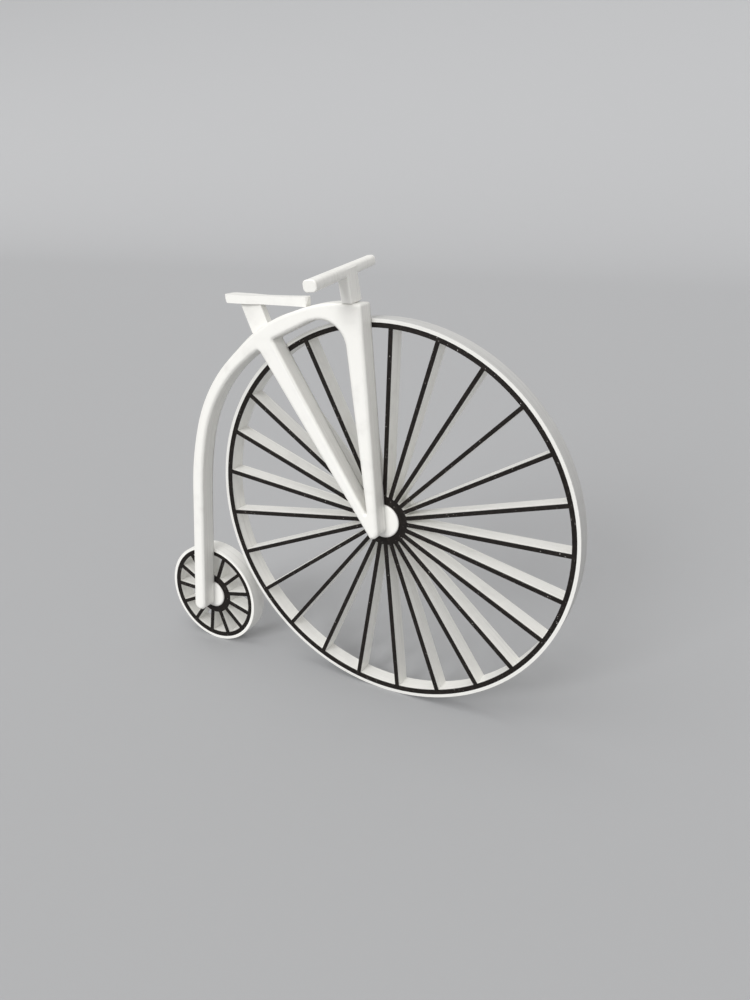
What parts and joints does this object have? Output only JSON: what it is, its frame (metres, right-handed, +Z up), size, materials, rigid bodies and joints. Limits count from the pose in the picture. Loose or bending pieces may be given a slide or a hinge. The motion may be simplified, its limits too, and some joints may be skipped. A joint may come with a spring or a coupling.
{
  "type": "model penny farthing bicycle",
  "caption": "Small printed model of a penny farthing bicycle: a flat curved frame holds a large and a small spoked wheel on one side, with saddle and handlebar plugged into its top.",
  "frame": {"origin": "middle of the footprint on the ground, under the middle of the bounding box", "axes": "+X ahead, +Y to the bicycle's left, where the wheels are, +Z up"},
  "size_m": [0.1984, 0.043, 0.1808],
  "materials": {
    "white_plastic": "satin printed plastic",
    "black_plastic": "satin printed plastic"
  },
  "bodies": {
    "bicycle_frame": {"frame": "white_plastic", "seat": "white_plastic", "handlebar": "white_plastic", "front_cap": "white_plastic", "rear_cap": "white_plastic"},
    "front_wheel": {"front_wheel_core": "white_plastic", "front_wheel_face": "black_plastic"},
    "rear_wheel": {"rear_wheel_core": "white_plastic", "rear_wheel_face": "black_plastic"}
  },
  "joints": [
    {"name": "front_wheel_spin", "type": "hinge", "parent": "bicycle_frame", "child": "front_wheel", "pos_m": [0.01923, 0.01211, 0.08], "axis": [0, 1, 0], "continuous": true},
    {"name": "rear_wheel_spin", "type": "hinge", "parent": "bicycle_frame", "child": "rear_wheel", "pos_m": [-0.07497, 0.01211, 0.02425], "axis": [0, 1, 0], "continuous": true}
  ]
}
